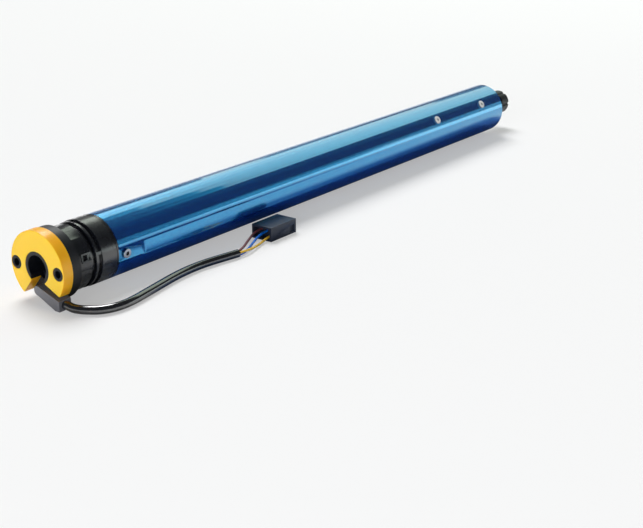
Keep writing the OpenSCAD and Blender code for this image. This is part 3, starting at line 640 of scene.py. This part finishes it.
def soften(name, node, width, segments=2):
    """The solid again, with its hard edges rounded by width"""
    mesh = bmesh.new()
    mesh.from_mesh(frame["nodes"][node].data)
    bmesh.ops.remove_doubles(mesh, verts=mesh.verts, dist=WELD_DISTANCE)
    bmesh.ops.dissolve_limit(
        mesh, angle_limit=FLAT_ANGLE, verts=mesh.verts, edges=mesh.edges, delimit={"NORMAL"}
    )
    data = bpy.data.meshes.new(name)
    mesh.to_mesh(data)
    mesh.free()
    bevel = new_piece(name, data, node).modifiers.new("rounded edges", "BEVEL")
    bevel.width = width
    bevel.segments = segments
    bevel.limit_method = "ANGLE"
    bevel.angle_limit = CORNER_ANGLE
    bevel.miter_outer = "MITER_ARC"
    bevel.use_clamp_overlap = True
    bevel.harden_normals = True
    data.shade_smooth()
    data.set_sharp_from_angle(angle=CORNER_ANGLE)


def round_curve(name, route, width, node):
    """A cable along its route, as a smooth curve of round section"""
    data = bpy.data.curves.new(name, "CURVE")
    data.dimensions = "3D"
    data.bevel_depth = width / 2
    data.bevel_resolution = SECTION_STEPS
    data.resolution_u = ROUTE_STEPS
    data.use_fill_caps = True
    spline = data.splines.new("BEZIER")
    spline.bezier_points.add(len(route) - 1)
    for point, place in zip(spline.bezier_points, route):
        point.co = place
        point.handle_left_type = point.handle_right_type = "AUTO"
    return new_piece(name, data, node)


def point_along(lamp, direction):
    """Turns a lamp so that it shines in this direction"""
    lamp.rotation_mode = "QUATERNION"
    lamp.rotation_quaternion = direction.to_track_quat("-Z", "Y")


def add_soft_box(name, place, aim, size, power, colour, mirrored):
    """A rectangular area lamp at place that faces aim and is itself out of sight"""
    lamp = bpy.data.lights.new(name, "AREA")
    lamp.shape = "RECTANGLE"
    lamp.size, lamp.size_y = size
    lamp.energy = power
    lamp.color = colour
    box = bpy.data.objects.new(name, lamp)
    box.location = place
    point_along(box, Vector(aim) - Vector(place))
    box.visible_camera = False
    box.visible_glossy = mirrored
    bpy.context.scene.collection.objects.link(box)


def add_top_light():
    """A broad soft light from above, a little from behind the motor"""
    lamp = bpy.data.lights.new("top light", "SUN")
    lamp.energy = TOP_LIGHT_STRENGTH
    lamp.angle = TOP_LIGHT_SPREAD
    sun = bpy.data.objects.new("top light", lamp)
    point_along(sun, Vector(TOP_LIGHT_DIRECTION))
    bpy.context.scene.collection.objects.link(sun)


def add_world():
    """A pale studio wall at the horizon that darkens upward"""
    world = bpy.data.worlds.new("studio")
    world.use_nodes = True
    bpy.context.scene.world = world
    graph = Graph(world.node_tree)
    place = graph.add("ShaderNodeTexCoord")
    split = graph.add("ShaderNodeSeparateXYZ")
    level = graph.add(
        "ShaderNodeMapRange", {**from_span(WALL_SPAN), "To Min": WALL_LOW, "To Max": WALL_HIGH},
        interpolation_type="SMOOTHSTEP",
    )
    background = graph.add("ShaderNodeBackground", {"Color": WALL_COLOUR})
    output = graph.add("ShaderNodeOutputWorld")
    graph.join(place.outputs["Generated"], split.inputs["Vector"])
    graph.join(split.outputs["Z"], level.inputs["Value"])
    graph.join(level.outputs["Result"], background.inputs["Strength"])
    graph.join(background.outputs["Background"], output.inputs["Surface"])


class BLINDMOTOR_OT_camera(bpy.types.Operator):
    """Sets up the camera that looks along the motor from its head"""

    bl_idname = "blindmotor.camera"
    bl_label = "Camera"

    def execute(self, context):
        lens = bpy.data.cameras.new("camera")
        lens.lens = context.scene.blind_motor_sizes.lens
        lens.sensor_width = SENSOR_WIDTH
        lens.clip_start = CLIP_START
        lens.clip_end = CLIP_END
        camera = bpy.data.objects.new("camera", lens)
        context.scene.collection.objects.link(camera)
        axes = (Vector(CAMERA_RIGHT), -Vector(CAMERA_DOWN), -Vector(CAMERA_FORWARD))
        turn = Matrix(axes).transposed().to_4x4()
        camera.matrix_world = Matrix.Translation(CAMERA_PLACE) @ turn
        context.scene.camera = camera
        return {"FINISHED"}


class BLINDMOTOR_OT_finishes(bpy.types.Operator):
    """Makes the finishes of all the motor's materials"""

    bl_idname = "blindmotor.finishes"
    bl_label = "Finishes"

    def execute(self, context):
        make_finishes(context.scene.blind_motor_colours)
        return {"FINISHED"}


class BLINDMOTOR_OT_cable(bpy.types.Operator):
    """Lays the cable and its three wires up to the connector"""

    bl_idname = "blindmotor.cable"
    bl_label = "Cable"

    def execute(self, context):
        sizes = context.scene.blind_motor_sizes
        jacket = round_curve("cable", JACKET_ROUTE, sizes.cable_width, "cable_jacket")
        for node, route in WIRE_ROUTES.items():
            wire = round_curve(node + "_insulation", route, sizes.wire_width, node)
        return {"FINISHED"}


class BLINDMOTOR_OT_head(bpy.types.Operator):
    """Softens the cap, bore ring, bushes and head body"""

    bl_idname = "blindmotor.head"
    bl_label = "Head"

    def execute(self, context):
        sizes = context.scene.blind_motor_sizes
        soften("cap", "head_cap", sizes.edge_round, segments=3)
        soften("bore_lining", "bore_ring", sizes.edge_round)
        soften("bushes", "fixing_bushes", sizes.edge_round)
        soften("body_of_head", "head_body", sizes.fine_round)
        finish_node("threaded_inserts")
        finish_node("tube_collar")
        return {"FINISHED"}


class BLINDMOTOR_OT_crown(bpy.types.Operator):
    """Softens the turning crown and its washer, and finishes the turn counter"""

    bl_idname = "blindmotor.crown"
    bl_label = "Crown"

    def execute(self, context):
        sizes = context.scene.blind_motor_sizes
        soften("turning_crown", "crown", sizes.fine_round)
        soften("washer", "crown_washer", sizes.fine_round)
        for node in ("counter_pinion", "counter_magnet", "counter_board"):
            finish_node(node)
        return {"FINISHED"}


class BLINDMOTOR_OT_tube(bpy.types.Operator):
    """Softens the painted tube and its screws"""

    bl_idname = "blindmotor.tube"
    bl_label = "Tube"

    def execute(self, context):
        sizes = context.scene.blind_motor_sizes
        soften("painted_tube", "motor_tube", sizes.fine_round)
        soften("pocket_screw", "collar_screw", sizes.fine_round)
        soften("round_head_screws", "tube_screws", sizes.fine_round)
        return {"FINISHED"}


class BLINDMOTOR_OT_plug(bpy.types.Operator):
    """Softens the cable plug in the head's slot and finishes its contacts"""

    bl_idname = "blindmotor.plug"
    bl_label = "Plug"

    def execute(self, context):
        soften("plug", "cable_plug", context.scene.blind_motor_sizes.plug_round, segments=3)
        finish_node("plug_contacts")
        return {"FINISHED"}


class BLINDMOTOR_OT_connector(bpy.types.Operator):
    """Softens the connector at the cable's end and finishes its terminals"""

    bl_idname = "blindmotor.connector"
    bl_label = "Connector"

    def execute(self, context):
        soften("connector", "connector_housing", context.scene.blind_motor_sizes.edge_round)
        finish_node("connector_terminals")
        return {"FINISHED"}


class BLINDMOTOR_OT_hub(bpy.types.Operator):
    """Softens the output hub and finishes its bearing and seal"""

    bl_idname = "blindmotor.hub"
    bl_label = "Output hub"

    def execute(self, context):
        soften("drive_hub", "output_hub", context.scene.blind_motor_sizes.fine_round)
        for node in ("output_bearing", "output_seal"):
            finish_node(node)
        return {"FINISHED"}


class BLINDMOTOR_OT_works(bpy.types.Operator):
    """Finishes the electronics, motor, brake and gears inside the tube"""

    bl_idname = "blindmotor.works"
    bl_label = "Inner works"

    def execute(self, context):
        for node, solid in frame["nodes"].items():
            if not solid.hide_render:
                finish_node(node)
        return {"FINISHED"}


class BLINDMOTOR_OT_stage(bpy.types.Operator):
    """Lays the pale floor and sets up the lamps and the world"""

    bl_idname = "blindmotor.stage"
    bl_label = "Stage"

    def execute(self, context):
        mesh = bpy.data.meshes.new("floor")
        signs = ((-1, -1), (1, -1), (1, 1), (-1, 1))
        corners = [(x * FLOOR_REACH, y * FLOOR_REACH, FLOOR_Z) for x, y in signs]
        mesh.from_pydata(corners, [], [(0, 1, 2, 3)])
        floor = bpy.data.objects.new("floor", mesh)
        context.scene.collection.objects.link(floor)
        mesh.materials.append(floor_finish(context.scene.blind_motor_colours))
        for lamp in SOFT_BOXES:
            add_soft_box(*lamp)
        add_top_light()
        add_world()
        context.scene.view_settings.view_transform = "Standard"
        return {"FINISHED"}


# the finishes come before every piece, and the connector before the cords that end in it
OPERATORS = (
    BLINDMOTOR_OT_camera, BLINDMOTOR_OT_finishes, BLINDMOTOR_OT_connector, BLINDMOTOR_OT_cable,
    BLINDMOTOR_OT_head, BLINDMOTOR_OT_crown, BLINDMOTOR_OT_tube, BLINDMOTOR_OT_plug,
    BLINDMOTOR_OT_hub, BLINDMOTOR_OT_works, BLINDMOTOR_OT_stage,
)


class BLINDMOTOR_PT_panel(bpy.types.Panel):
    """Lists the steps that dress the motor"""

    bl_idname = "BLINDMOTOR_PT_panel"
    bl_label = "Blind Motor"
    bl_space_type = "VIEW_3D"
    bl_region_type = "UI"
    bl_category = "Blind Motor"

    def draw(self, context):
        for group in (context.scene.blind_motor_sizes, context.scene.blind_motor_colours):
            for name in group.bl_rna.properties.keys():
                if name not in ("rna_type", "name"):
                    self.layout.prop(group, name)
        for operator in OPERATORS:
            self.layout.operator(operator.bl_idname)


CLASSES = (BlindMotorSizes, BlindMotorColours, *OPERATORS, BLINDMOTOR_PT_panel)


def register():
    for item in CLASSES:
        bpy.utils.register_class(item)
    bpy.types.Scene.blind_motor_sizes = PointerProperty(type=BlindMotorSizes)
    bpy.types.Scene.blind_motor_colours = PointerProperty(type=BlindMotorColours)


def unregister():
    del bpy.types.Scene.blind_motor_colours
    del bpy.types.Scene.blind_motor_sizes
    for item in reversed(CLASSES):
        bpy.utils.unregister_class(item)


def main():
    register()
    for operator in OPERATORS:
        group, name = operator.bl_idname.split(".")
        getattr(getattr(bpy.ops, group), name)()


if __name__ == "__main__":
    main()
